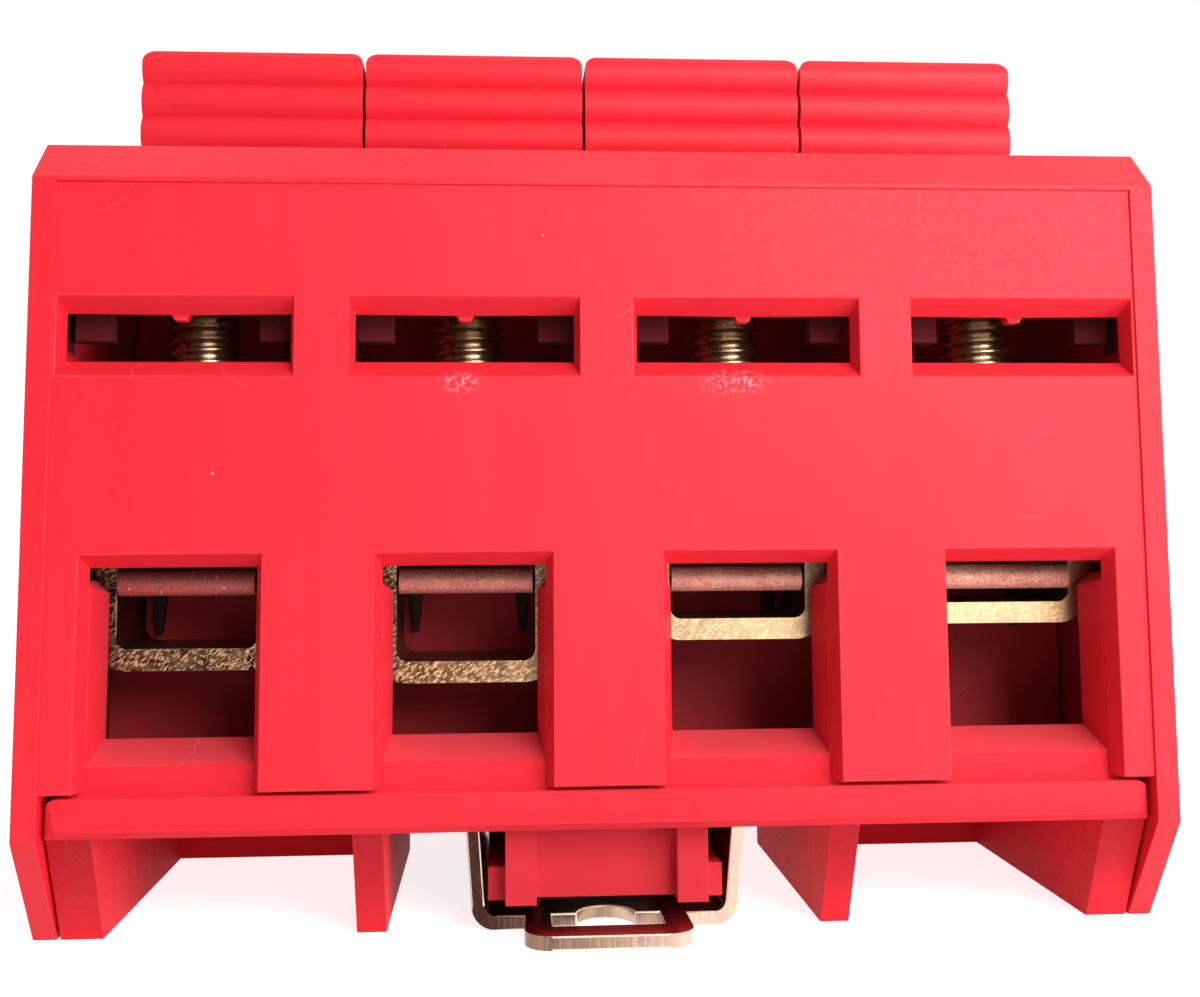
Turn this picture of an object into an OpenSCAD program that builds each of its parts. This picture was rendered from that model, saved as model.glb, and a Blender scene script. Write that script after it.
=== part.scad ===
// Surge arrester for a 35 mm top-hat rail: four plug-in protection modules in a U-shaped base.
// X runs along the rail, Y across it and Z out of the panel. The origin is the middle of the
// rail seat, the line terminals are on the -Y face and the earth terminals on the +Y face.

/* [Base] */
// Width of one standard module, which is also the pitch of the terminals
pole_pitch = 18; // [17.5:0.1:20]
// Length between the two terminal faces
body_l = 90; // [89:0.5:96]
// Height of the shoulders above the rail seat
shoulder_z = 44.5; // [43.5:0.5:50]
// Moulded wall of the cover
wall = 1.5; // [1.2:0.1:1.7]
// Wall between two terminal chambers
partition = 1.6; // [1.2:0.1:2.4]
// 45 degree chamfer along each shoulder
shoulder_chamfer = 2.7; // [1.5:0.1:3.5]
// Lower edge of the terminal faces
face_z = 3.8; // [3.7:0.1:4.6]
// Depth of the sunk field between the cheeks on each terminal face
field_t = 0.15; // [0.1:0.05:0.4]
// Drop of the feet below the rail seat
foot_drop = 5.9; // [5.6:0.1:7]
// How far the feet lean back from the terminal face
foot_lean = 4.9; // [3:0.1:6]

/* [Terminal face] */
// Width of an inspection window at the face
window_w = 14.7; // [13:0.1:14.8]
// Height of an inspection window at the face
window_h = 5.35; // [4.6:0.05:6]
// Height of the window's middle above the rail seat
window_z = 31.75; // [31:0.05:34]
// Slope of the window's upper and lower edges through the wall
window_bevel = 1.2; // [0.4:0.05:1.5]
// Slope of the window's side edges through the wall
window_side_bevel = 0.4; // [0.2:0.05:0.8]
// Stiffening rib above the middle of a window, width and reach
window_rib = 1.1; // [0.8:0.1:1.5]
// Width of a cable notch at the face
notch_w = 11.2; // [10.8:0.1:12.5]
// Narrowing of a cable notch on each side through the wall
notch_taper = 0.5; // [0.2:0.05:0.6]
// Head of a cable notch
notch_z = 18.3; // [18:0.1:20]
// Fall of the notch head through the wall
notch_bevel = 1; // [0.4:0.05:1.2]
// Width of the cable throat
throat_w = 9.3; // [8.6:0.1:9.6]
// Sill of the cable throat
throat_z = 6.55; // [6.2:0.05:7.1]
// Depth of the throat behind the face
funnel_l = 4; // [3.4:0.1:4.2]
// Fall of the funnel's sill from the throat to the wall
funnel_fall = 1.25; // [0.8:0.05:1.6]
// Top of the funnel's two uprights
frame_z = 16.5; // [15:0.1:17]
// Diameter of a screwdriver hole in the shoulder
driver_d = 6.2; // [5.8:0.1:7]

/* [Clamps] */
// Distance of the clamp screw behind the terminal face
screw_inset = 9.4; // [9.2:0.1:10]
// Outer diameter of the clamp screw's thread
screw_d = 5; // [4.5:0.1:5.2]
// Diameter of the screw head
head_d = 7.6; // [7.2:0.1:9]
// Height of the screw head
head_h = 3.6; // [2.5:0.1:4.5]
// Blade width of the cross recess
recess_w = 1.1; // [0.8:0.1:1.4]
// Inner width of the clamp cage
cage_w = 9.1; // [8.6:0.1:9.3]
// Depth of the clamp cage
cage_l = 8; // [7:0.1:8.2]
// Sheet of the clamp cage
cage_t = 1.4; // [1.2:0.1:1.5]
// Threaded head of the clamp cage
cage_nut_h = 2.6; // [2:0.1:2.8]
// Thickness of the copper bars
bar_t = 1.6; // [1.2:0.1:1.8]
// Underside of the copper bars
bar_z = 15.4; // [15.3:0.1:16]
// Underside of the guide plate round the screw
guide_z = 28.9; // [28.7:0.1:29.4]
// Widest wire that the clamp takes
jaw_max = 7.2; // [6.8:0.1:7.4]

/* [Modules] */
// Space left at each end of the row of modules
module_end_gap = 0.5; // [0.3:0.05:1]
// Gap between two modules
module_gap = 0.25; // [0.2:0.05:0.4]
// Length of a module across the rail
module_l = 44.3; // [42:0.1:45]
// Front of the modules above the rail seat
module_top = 58; // [57:0.5:64]
// Wall of a module case
case_wall = 1.2; // [1:0.1:1.5]
// Radius along the module's front edges
case_r = 1; // [0.5:0.1:1.1]
// Floor of the module bay
bay_z = 24.5; // [24.3:0.1:26]
// Thickness of the bay floor
bay_floor_t = 1.6; // [1.2:0.1:1.7]
// Wall between the bay and the terminal chambers
bay_wall = 1.6; // [1.2:0.1:2.4]
// Height of one grip ridge
ridge_pitch = 2.7; // [2:0.1:3]
// Depth of the grooves between grip ridges
ridge_h = 0.55; // [0.3:0.05:0.7]
// Thickness of the plug blades
blade_t = 1.2; // [0.8:0.1:1.4]
// Width of the plug blades
blade_w = 7; // [5:0.5:8]
// Distance of a blade's middle from the module's end
blade_inset = 10.15; // [9:0.05:11]
// Thickness of a varistor block
varistor_t = 7; // [5:0.5:9]
// Height of a varistor block
varistor_h = 24; // [20:0.5:26]
// Diameter of the spark gap tube
spark_gap_d = 13; // [10:0.5:14]
// Width of the status window along the rail
flag_w = 5; // [3:0.5:6]
// Length of the status window and travel of the flag behind it
flag_l = 4; // [3:0.5:5]

/* [Rail fixing] */
// Width of the rail
rail_w = 35; // [35:0.1:35.5]
// Thickness of the rail's flange
rail_t = 1; // [1:0.1:1.5]
// Reach of the hooks under the rail's flange
hook_reach = 2.3; // [1.8:0.1:2.8]
// Outer width of the spring-loaded slide at its floor
slide_w = 17.2; // [16.8:0.1:18]
// How far each leg of the slide spreads to its top
slide_splay = 0.35; // [0.2:0.05:0.4]
// Sheet of the slide
slide_t = 0.85; // [0.7:0.05:1]
// Front edge of the slide's floor behind the terminal face
slide_inset = 4.45; // [4.2:0.05:5]
// How far the fronts of the slide's legs lean forward to their tops
slide_lean = 0.8; // [0.5:0.1:3.5]
// Width of the slide's pull tab
tab_w = 10.5; // [9:0.5:12]
// Reach of the slide's pull tab
tab_l = 4.7; // [3:0.1:5.5]
// Travel of the slide
slide_travel = 4; // [3:0.1:4]

/* [Remote signal] */
// Width of the signal plug
plug_w = 10.2; // [9:0.1:11]
// Height of the signal plug
plug_h = 6.6; // [6:0.1:7.2]
// Depth of the signal plug
plug_l = 8; // [7:0.1:8.5]
// Pitch of the three contacts
contact_pitch = 3.2; // [3:0.1:3.4]

/* [Fits] */
// Clearance between mouldings that are assembled once
seat_gap = 0.2; // [0.15:0.05:0.25]
// Clearance of the funnels behind the wall
snap_gap = 0.06; // [0.04:0.02:0.1]
// Clearance between pieces that move on each other
run_gap = 0.15; // [0.1:0.05:0.2]
// Radial clearance of the clamp thread and of the blade contacts
contact_gap = 0.05; // [0.03:0.01:0.08]

/* [Hidden] */
$fn = 48;
pole_count = 4;
// Overrun of a cut, and overlap of shapes that grow together
past = 1;
lap = 0.1;

// Each clamp's side of the base, its pole and its jaw as it stands
CLAMPS = [[-1, 0, 3.4], [-1, 1, 4.4], [-1, 2, 1.8], [-1, 3, 0.9], [1, 2, 6.5], [1, 3, 6.5]];
LINE_POLES = [0, 1, 2];
NEUTRAL_POLE = 3;
SIGNAL_POLE = 1;

RED = [0.86, 0.13, 0.16];
DARK = [0.16, 0.16, 0.17];
GOLD = [0.78, 0.64, 0.36];
COPPER = [0.80, 0.66, 0.52];
STEEL = [0.70, 0.69, 0.66];

half_w = pole_count * pole_pitch / 2;
half_l = body_l / 2;
inner_x = half_w - wall;
tray_x = inner_x - seat_gap;
cell_w = pole_pitch - partition;
roof_z = shoulder_z - wall;
bay_y = module_l / 2 + seat_gap;
chamber_y = bay_y + bay_wall;
under_z = bay_z - bay_floor_t;
field_edge = 0.3;
rib_drop = 0.35;
block_x = 4.7;
block_w = 2.3;
block_inset = 1.6;
block_l = 1.5;
mouth_w = notch_w - 2 * notch_taper;
slot_room = 0.6;

// Tray
plate_t = 1.6;
beam_z = 1.05;
plate_z = beam_z + plate_t;
beam_face_h = 1.35;
beam_h = 2.45;
beam_edge_z = beam_z + beam_face_h;
beam_top_z = beam_z + beam_h;
beam_inset = 0.4;
beam_y = half_l - beam_inset;
beam_slope = 0.25;
beam_chamfer = 0.5;
beam_t = 2;
beam_r = 0.8;
frame_y = half_l - wall - snap_gap;
frame_l = 4.3;
frame_lap = 0.6;
frame_chamfer = 0.8;
rail_gap = 0.25;
flange_gap = 0.3;
channel_y = rail_w / 2 + rail_gap;
channel_wall = 1.2;
hook_z = rail_t + flange_gap;
hook_t = 1.2;
seat_y = channel_y - hook_reach - flange_gap;
seat_relief = 0.3;
end_rib_w = 2.7;
mid_rib_w = 1.9;
rib_inset = 0.8;
mid_rib_room = 6.3;
mid_rib_x = slide_w / 2 + mid_rib_room;
support_t = 1.5;
post_w = 4;

// Clamps and bars
screw_y = half_l - screw_inset;
bar_w = cage_w - 2 * seat_gap;
bar_top = bar_z + bar_t;
bar_end_y = half_l - frame_l - 2 * seat_gap;
cage_h = jaw_max + bar_t + 6 * run_gap;
cage_back_y = screw_y - cage_l / 2;
lug_t = 0.8;
lug_y = cage_back_y - seat_gap;
support_y = lug_y - lug_t;
cage_r = 0.8;
blade_y = module_l / 2 - blade_inset;
clip_t = 0.8;
clip_room = 0.5;
clip_l = blade_w + 2 * clip_room;
clip_under = 0.7;
clip_h = under_z - bar_top - clip_under;
tail_y = blade_y - clip_l / 2 - clip_room;
bar_space = 3.5;
cross_y = tail_y - bar_space;
strip_space = 2.5;
strip_w = 5;
strip_y = blade_y + clip_l / 2 + strip_space;

// Modules
module_pitch = (2 * half_w - 2 * module_end_gap) / pole_count;
module_w = module_pitch - module_gap;
module_z = bay_z + contact_gap * 2;
case_in_w = module_w - 2 * case_wall;
case_in_y = module_l / 2 - ridge_h - case_wall;
case_roof_z = module_top - case_wall;
ridge_n = 3;
ridge_r = (ridge_pitch * ridge_pitch / 4 + ridge_h * ridge_h) / (2 * ridge_h);
cap_t = 2;
cap_z = module_z + cap_t;
cradle_h = 1.5;
cradle_t = 2;
cradle_z = cap_z + cradle_h;
cradle_y = 5;
cradle_inset = 2;
blade_lift = 0.8;
blade_low_z = bar_top + blade_lift;
blade_head = 1;
flag_t = 1;
flag_y = -8;

// Slide and its guide
slide_y = half_l - slide_inset;
slide_lift = 0.1;
slide_low_z = -foot_drop + slide_lift;
slide_floor_z = slide_low_z + slide_t;
slide_in_x = slide_w / 2 - slide_t;
slide_bend = 0.7;
tab_r = 1.7;
tab_border = 1.8;
tab_root_w = tab_w + 1;
tab_root_l = 6;
slot_l = 2.75;
slot_reach = 0.3;
arch_r = 1.85;
arch_drop = 0.12;
lug_l = 6;
lug_lap = 0.3;
guide_room = 1.3;
guide_x = slide_in_x - guide_room;
guide_w = 2;
guide_inset = 3;
guide_y = half_l - guide_inset;
guide_end_y = channel_y + channel_wall + slide_travel;
guide_lift = 0.95;
guide_low_z = slide_floor_z + guide_lift;
runner_room = 0.2;
runner_x = slide_in_x - runner_room;
runner_h = 2.1;
runner_z = guide_low_z + runner_h;
runner_inset = 1.5;
runner_y = guide_y - runner_inset;
stop_inset = 1.2;
stop_y = guide_y - stop_inset;
stop_t = 1.4;
stop_lift = 0.2;
spring_tab_room = 1.75;
spring_tab_y = channel_y + channel_wall + spring_tab_room;

// Remote signal
socket_wall = 0.9;
socket_lift = 2.4;
socket_z = plate_z + socket_lift;
pin_tail = 2;
socket_w = plug_w + 2 * socket_wall + 2 * run_gap;
socket_h = plug_h + 2 * socket_wall + 2 * run_gap;
plug_y = half_l - seat_gap;
socket_y = half_l - wall - seat_gap;
socket_floor_y = plug_y - plug_l - run_gap;
plug_z = socket_z + socket_wall + run_gap;
contact_w = 1;

clamp_names = [for (n = [1:len(CLAMPS)]) str(n)];
pole_names = [for (n = [1:pole_count]) str(n)];

function pole_x(p) = (p - (pole_count - 1) / 2) * pole_pitch;
function module_x(p) = (p - (pole_count - 1) / 2) * module_pitch;

module box(low, high) {
  translate(low) cube(high - low);
}

// A shape drawn in Y and Z, run along X
module along_x(x0, x1) {
  translate([x0, 0, 0]) rotate([90, 0, 90]) linear_extrude(x1 - x0) children();
}

// A shape drawn in X and Z, run along Y
module along_y(y0, y1) {
  translate([0, y1, 0]) rotate([90, 0, 0]) linear_extrude(y1 - y0) children();
}

// Shapes are drawn for the near side, -Y, and mirrored for the far side
module at_side(side) {
  if (side < 0) children();
  else mirror([0, 1, 0]) children();
}

module both_sides() {
  for (side = [-1, 1]) at_side(side) children();
}

module both_ends() {
  for (m = [0, 1]) mirror([m, 0, 0]) children();
}

module rounded(low, high, r) {
  translate(low + [r, 0]) square([high[0] - low[0] - 2 * r, high[1] - low[1]]);
  translate(low + [0, r]) square([high[0] - low[0], high[1] - low[1] - 2 * r]);
  for (x = [low[0] + r, high[0] - r], y = [low[1] + r, high[1] - r]) translate([x, y]) circle(r);
}

// COVER

module cover_block() {
  along_x(-half_w, half_w) polygon([
    [-half_l, face_z], [-half_l, shoulder_z - shoulder_chamfer],
    [-half_l + shoulder_chamfer, shoulder_z], [half_l - shoulder_chamfer, shoulder_z],
    [half_l, shoulder_z - shoulder_chamfer], [half_l, face_z]]);
}

module cheek() {
  foot_y = half_l - foot_lean;
  along_x(inner_x, half_w) polygon([
    [-half_l, face_z + past], [-half_l, beam_z], [-foot_y, -foot_drop],
    [-channel_y, -foot_drop], [-channel_y, 0], [channel_y, 0], [channel_y, -foot_drop],
    [foot_y, -foot_drop], [half_l, beam_z], [half_l, face_z + past]]);
}

module chamber(p) {
  x0 = max(-inner_x, pole_x(p) - cell_w / 2);
  x1 = min(inner_x, pole_x(p) + cell_w / 2);
  y0 = -half_l + wall;
  slope = shoulder_z - shoulder_chamfer + half_l - wall * sqrt(2);
  along_x(x0, x1) polygon([
    [y0, face_z - past], [y0, slope + y0], [roof_z - slope, roof_z],
    [-chamber_y, roof_z], [-chamber_y, under_z], [-chamber_y + past, under_z],
    [-chamber_y + past, face_z - past]]);
}

module bay() {
  box([-half_w - past, -bay_y, bay_z], [half_w + past, bay_y, shoulder_z + past]);
  box([-inner_x, -chamber_y, face_z - past], [inner_x, chamber_y, under_z]);
}

module sunk_field() {
  box([-inner_x, -half_l - past, face_z - past],
      [inner_x, -half_l + field_t, shoulder_z - shoulder_chamfer - field_edge]);
}

// A window narrows through the wall on all four sides
module window(p) {
  low = window_z - window_h / 2;
  high = window_z + window_h / 2;
  in_y = -half_l + wall;
  intersection() {
    along_x(pole_x(p) - window_w, pole_x(p) + window_w) polygon([
      [-half_l - past, low], [-half_l, low], [in_y, low + window_bevel],
      [in_y + past / 4, low + window_bevel], [in_y + past / 4, high - window_bevel],
      [in_y, high - window_bevel], [-half_l, high], [-half_l - past, high]]);
    translate([pole_x(p), 0, low - past]) linear_extrude(window_h + 2 * past) polygon([
      for (s = [-1, 1], q = s < 0
        ? [[0, -half_l - past], [0, -half_l], [window_side_bevel, in_y],
           [window_side_bevel, in_y + past]]
        : [[window_side_bevel, in_y + past], [window_side_bevel, in_y], [0, -half_l],
           [0, -half_l - past]]) [s * (window_w / 2 - q[0]), q[1]]]);
  }
}

// A rib with a tapered foot stiffens the wall over a window, and two blocks hang behind the window
module window_ribs(p) {
  in_y = -half_l + wall;
  foot_z = window_z + window_h / 2 - window_bevel - rib_drop;
  translate([pole_x(p), 0, 0]) {
    along_y(in_y, in_y + window_rib) polygon([
      [-window_rib / 3, foot_z], [-window_rib / 2, foot_z + rib_drop],
      [-window_rib / 2, shoulder_z - shoulder_chamfer - wall],
      [window_rib / 2, shoulder_z - shoulder_chamfer - wall],
      [window_rib / 2, foot_z + rib_drop], [window_rib / 3, foot_z]]);
    both_ends() box([block_x, in_y + block_inset, window_z],
                    [block_x + block_w, in_y + block_inset + block_l, roof_z + lap]);
  }
}

// A cable notch narrows through the wall, and its head falls to lead the wire in
module notch(p) {
  in_y = -half_l + wall;
  translate([pole_x(p), 0, 0]) intersection() {
    translate([0, 0, face_z - past]) linear_extrude(notch_z - face_z + 2 * past) polygon([
      [-notch_w / 2, -half_l - past], [-notch_w / 2, -half_l], [-mouth_w / 2, in_y],
      [-mouth_w / 2, in_y + past / 4], [mouth_w / 2, in_y + past / 4], [mouth_w / 2, in_y],
      [notch_w / 2, -half_l], [notch_w / 2, -half_l - past]]);
    along_x(-notch_w, notch_w) polygon([
      [-half_l - past, face_z - past], [-half_l - past, notch_z], [-half_l, notch_z],
      [in_y, notch_z - notch_bevel], [in_y + past / 4, notch_z - notch_bevel],
      [in_y + past / 4, face_z - past]]);
  }
}

module driver_hole(p) {
  translate([pole_x(p), -screw_y, 0]) {
    translate([0, 0, roof_z - past]) cylinder(d = driver_d, h = wall + 2 * past);
    translate([0, 0, shoulder_z - wall / 2])
      cylinder(d1 = driver_d, d2 = driver_d + 2 * wall, h = wall);
  }
}

module blade_slots() {
  for (p = [0:pole_count - 1], side = [-1, 1])
    translate([module_x(p), side * blade_y, bay_z - bay_floor_t / 2])
      cube([blade_t + 2 * slot_room, blade_w + 2 * slot_room, bay_floor_t + past], center = true);
}

// The partitions stand on the tray between the funnels
module partition_feet() {
  for (p = [1:pole_count - 1])
    box([pole_x(p) - pole_pitch / 2 - partition / 2, -half_l + frame_l, plate_z],
        [pole_x(p) - pole_pitch / 2 + partition / 2, -chamber_y, face_z + past]);
}

module signal_mouth() {
  box([pole_x(SIGNAL_POLE) - plug_w / 2 - seat_gap, half_l - wall - past, plug_z - seat_gap],
      [pole_x(SIGNAL_POLE) + plug_w / 2 + seat_gap, half_l + past, plug_z + plug_h + seat_gap]);
}

module cover() {
  color(RED) {
    difference() {
      union() {
        cover_block();
        both_ends() cheek();
      }
      both_sides() {
        for (p = [0:pole_count - 1]) chamber(p);
        sunk_field();
      }
      bay();
      for (c = CLAMPS) at_side(c[0]) {
        window(c[1]);
        notch(c[1]);
        driver_hole(c[1]);
      }
      blade_slots();
      signal_mouth();
    }
    for (c = CLAMPS) at_side(c[0]) window_ribs(c[1]);
    both_sides() partition_feet();
  }
}

// TRAY

// The plate's seat ends short of the hooks, and a beam with round ends runs along each face
module tray_plate() {
  step_y = channel_y + channel_wall;
  intersection() {
    along_x(-tray_x, tray_x) polygon([
      for (s = [-1, 1], q = s < 0
        ? [[seat_y, 0], [seat_y, seat_relief], [step_y, seat_relief], [step_y, beam_z],
           [beam_y - beam_chamfer, beam_z], [beam_y, beam_z + beam_chamfer],
           [beam_y, beam_edge_z], [beam_y - beam_slope, beam_top_z],
           [beam_y - beam_t, beam_top_z], [beam_y - beam_t, plate_z]]
        : [[beam_y - beam_t, plate_z], [beam_y - beam_t, beam_top_z],
           [beam_y - beam_slope, beam_top_z], [beam_y, beam_edge_z],
           [beam_y, beam_z + beam_chamfer], [beam_y - beam_chamfer, beam_z],
           [step_y, beam_z], [step_y, seat_relief], [seat_y, seat_relief], [seat_y, 0]])
        [s * q[0], q[1]]]);
    along_y(-half_l, half_l) {
      rounded([-tray_x, -beam_top_z], [tray_x, beam_top_z], beam_r);
      translate([-tray_x, -beam_top_z]) square([2 * tray_x, beam_top_z]);
    }
    translate([0, 0, -past]) linear_extrude(beam_top_z + 2 * past)
      rounded([-tray_x, -beam_y], [tray_x, beam_y], beam_r);
  }
}

module rib(x0, x1) {
  along_x(x0, x1) polygon([
    [-beam_y + rib_inset, beam_z + lap], [-half_l + foot_lean, -foot_drop],
    [-channel_y, -foot_drop], [-channel_y, beam_z + lap]]);
}

module side_ribs() {
  both_ends() {
    rib(tray_x - end_rib_w, tray_x);
    rib(mid_rib_x - mid_rib_w / 2, mid_rib_x + mid_rib_w / 2);
    box([mid_rib_x, -channel_y - channel_wall, -foot_drop],
        [tray_x - end_rib_w + lap, -channel_y, plate_t]);
  }
}

// The far wall carries the fixed hooks that reach under the rail's flange
module fixed_hooks() {
  box([-mid_rib_x, channel_y, -foot_drop], [mid_rib_x, channel_y + channel_wall, plate_t]);
  both_ends() along_x(mid_rib_x, tray_x - end_rib_w + lap) polygon([
    [channel_y + lap, -hook_z], [channel_y - hook_reach, -hook_z],
    [channel_y - hook_reach, -hook_z - hook_t], [channel_y + lap, -hook_z - hook_t - hook_reach]]);
}

// A funnel behind the wall narrows to the throat at its sides and sill, and its uprights fall inwards
module funnel(p) {
  head = notch_w / 2;
  side = head + frame_lap;
  in_y = -half_l + frame_l;
  throat_y = -half_l + funnel_l;
  translate([pole_x(p), 0, 0]) difference() {
    box([-side, -frame_y, plate_z - lap], [side, in_y, frame_z]);
    along_y(-half_l - past, in_y + past) polygon([
      [-head, frame_z], [-throat_w / 2, frame_z - frame_chamfer],
      [throat_w / 2, frame_z - frame_chamfer], [head, frame_z],
      [head, frame_z + past], [-head, frame_z + past]]);
    intersection() {
      translate([0, 0, plate_z]) linear_extrude(frame_z - plate_z + past) polygon([
        [-mouth_w / 2, -half_l], [-mouth_w / 2, -frame_y],
        [-throat_w / 2, throat_y], [-throat_w / 2, in_y + past],
        [throat_w / 2, in_y + past], [throat_w / 2, throat_y],
        [mouth_w / 2, -frame_y], [mouth_w / 2, -half_l]]);
      along_x(-notch_w, notch_w) polygon([
        [-half_l, throat_z - funnel_fall], [-frame_y, throat_z - funnel_fall],
        [throat_y, throat_z], [in_y + past, throat_z],
        [in_y + past, frame_z + past], [-half_l, frame_z + past]]);
    }
  }
}

module bar_support(p) {
  x0 = max(-tray_x, pole_x(p) - cell_w / 2 + seat_gap);
  x1 = min(tray_x, pole_x(p) + cell_w / 2 - seat_gap);
  box([x0, -support_y, plate_z - lap], [x1, -support_y + support_t, bar_z]);
}

module clip_posts() {
  for (p = [0:pole_count - 1], side = [-1, 1])
    translate([pole_x(p) - post_w / 2, side * blade_y - post_w / 2, plate_t])
      cube([post_w, post_w, bar_z - plate_t]);
}

// Two runners carry the slide, and a stop between them takes the spring
module slide_guide() {
  both_ends() {
    box([guide_x - guide_w, -guide_y, guide_low_z], [guide_x, -guide_end_y, plate_z - lap]);
    box([guide_x - lap, -runner_y, guide_low_z], [runner_x, -guide_end_y, runner_z]);
  }
  box([-guide_x + guide_w - lap, -stop_y, guide_low_z + stop_lift],
      [guide_x - guide_w + lap, -stop_y + stop_t, plate_z - lap]);
}

module socket_stand() {
  box([pole_x(SIGNAL_POLE) - socket_w / 2, socket_floor_y - socket_wall, plate_z - lap],
      [pole_x(SIGNAL_POLE) + socket_w / 2, beam_y - beam_t + lap, socket_z]);
}

module tray() {
  color(RED) {
    tray_plate();
    both_sides() side_ribs();
    fixed_hooks();
    for (c = CLAMPS) at_side(c[0]) {
      funnel(c[1]);
      bar_support(c[1]);
    }
    clip_posts();
    slide_guide();
    socket_stand();
  }
}

// RAIL SLIDE

// A folded channel whose legs spread a little
module slide_section() {
  r = slide_bend + slide_t;
  fold_z = slide_low_z + r;
  top = beam_z - seat_gap;
  spread = slide_splay * (top + past - fold_z) / (top - fold_z);
  difference() {
    union() {
      translate([-slide_w / 2 + r, slide_low_z]) square([slide_w - 2 * r, r]);
      polygon([[-slide_w / 2, fold_z], [-slide_w / 2 - slide_splay, top],
               [slide_w / 2 + slide_splay, top], [slide_w / 2, fold_z]]);
      for (s = [-1, 1]) translate([s * (slide_w / 2 - r), fold_z]) circle(r);
    }
    translate([-slide_in_x + slide_bend, slide_floor_z])
      square([2 * (slide_in_x - slide_bend), r]);
    polygon([[-slide_in_x, fold_z], [-slide_in_x - spread, top + past],
             [slide_in_x + spread, top + past], [slide_in_x, fold_z]]);
    for (s = [-1, 1]) translate([s * (slide_in_x - slide_bend), fold_z]) circle(slide_bend);
  }
}

// The legs lean forward, and the nose under the flange is cut at its lower corner to snap on the rail
module slide_outline() {
  step_y = channel_y + channel_wall + seat_gap;
  nose_y = channel_y - hook_reach;
  snap_h = 2.9;
  snap_l = 3;
  polygon([
    [-slide_y, slide_low_z - past], [-slide_y, slide_floor_z + slide_bend],
    [-slide_y - slide_lean, beam_z], [-step_y, beam_z],
    [-step_y, -hook_z], [-nose_y, -hook_z], [-nose_y, slide_low_z + snap_h],
    [-nose_y - snap_l, slide_low_z], [-nose_y - snap_l, slide_low_z - past]]);
}

// The tab has round corners and a slot with an arch, for a screwdriver's tip
module pull_tab() {
  slot_w = tab_w - 2 * tab_border;
  slot_y = -slide_y + slot_reach;
  translate([0, 0, slide_low_z]) linear_extrude(slide_t) difference() {
    union() {
      rounded([-tab_w / 2, -slide_y - tab_l], [tab_w / 2, -slide_y + 2 * tab_r], tab_r);
      translate([-tab_root_w / 2, -slide_y]) square([tab_root_w, tab_root_l]);
    }
    translate([-slot_w / 2, slot_y - slot_l]) square([slot_w, slot_l]);
    translate([0, slot_y - arch_drop]) circle(arch_r);
  }
}

module rail_slide() {
  lug_reach = slide_in_x - guide_x - lug_lap;
  lug_z = runner_z + run_gap;
  lug_back_y = guide_end_y + slide_travel / 2;
  color(GOLD) {
    difference() {
      intersection() {
        along_y(-slide_y - slide_lean, -channel_y + hook_reach) slide_section();
        along_x(-slide_w, slide_w) slide_outline();
      }
      box([-tab_root_w / 2, -slide_y - past, slide_low_z - past],
          [tab_root_w / 2, -slide_y + tab_root_l, slide_floor_z + lap]);
    }
    pull_tab();
    both_ends() box([slide_in_x - lug_reach, -lug_back_y - lug_l, lug_z],
                    [slide_in_x + slide_splay + lap, -lug_back_y, lug_z + slide_t]);
    box([-guide_x + guide_w + 2 * seat_gap, -spring_tab_y - slide_t, slide_low_z + lap],
        [guide_x - guide_w - 2 * seat_gap, -spring_tab_y, -hook_z - seat_gap]);
  }
}

// A flat wave spring between the tray's stop and the slide's upturned tab
module slide_spring() {
  wire = 0.5;
  wire_w = 2.2;
  lift = 1.2;
  turns = 9;
  y0 = -stop_y + stop_t + run_gap;
  y1 = -spring_tab_y - slide_t - run_gap;
  step = (y1 - y0 - wire) / turns;
  bend = step / 2;
  arm = guide_x - guide_w - 2 * seat_gap - bend - wire;
  color(STEEL) translate([0, 0, slide_floor_z + lift]) linear_extrude(wire_w) {
    for (k = [0:turns]) translate([-arm - wire / 4, y0 + k * step]) square([2 * arm + wire / 2, wire]);
    for (k = [0:turns - 1]) {
      s = k % 2 == 0 ? 1 : -1;
      translate([s * arm, y0 + wire / 2 + (k + 0.5) * step]) intersection() {
        difference() {
          circle(bend + wire / 2);
          circle(bend - wire / 2);
        }
        translate([s > 0 ? 0 : -step, -step]) square([step, 2 * step]);
      }
    }
  }
}

// CLAMPS

module terminal_screw(c) {
  tip_z = bar_top + 2 * contact_gap;
  top_z = roof_z - seat_gap;
  recess = 2;
  color(STEEL) at_side(c[0]) translate([pole_x(c[1]), -screw_y, 0]) difference() {
    union() {
      translate([0, 0, tip_z]) cylinder(d = screw_d, h = top_z - head_h - tip_z + lap);
      translate([0, 0, top_z - head_h]) cylinder(d = head_d, h = head_h);
    }
    for (a = [0, 90]) rotate(a) translate([0, 0, top_z])
      cube([recess_w, head_d * 0.7, 2 * recess], center = true);
  }
}

module terminal_cage(c) {
  low = bar_z - c[2] - cage_t;
  high = low + cage_t + cage_h + cage_nut_h;
  color(GOLD) at_side(c[0]) translate([pole_x(c[1]), 0, 0]) difference() {
    along_y(-screw_y - cage_l / 2, -screw_y + cage_l / 2) difference() {
      rounded([-cage_w / 2 - cage_t, low], [cage_w / 2 + cage_t, high], cage_r + cage_t);
      rounded([-cage_w / 2, low + cage_t], [cage_w / 2, low + cage_t + cage_h], cage_r);
    }
    translate([0, -screw_y, high - cage_nut_h - past])
      cylinder(d = screw_d + 2 * contact_gap, h = cage_nut_h + 2 * past);
  }
}

// COPPER BARS

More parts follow.
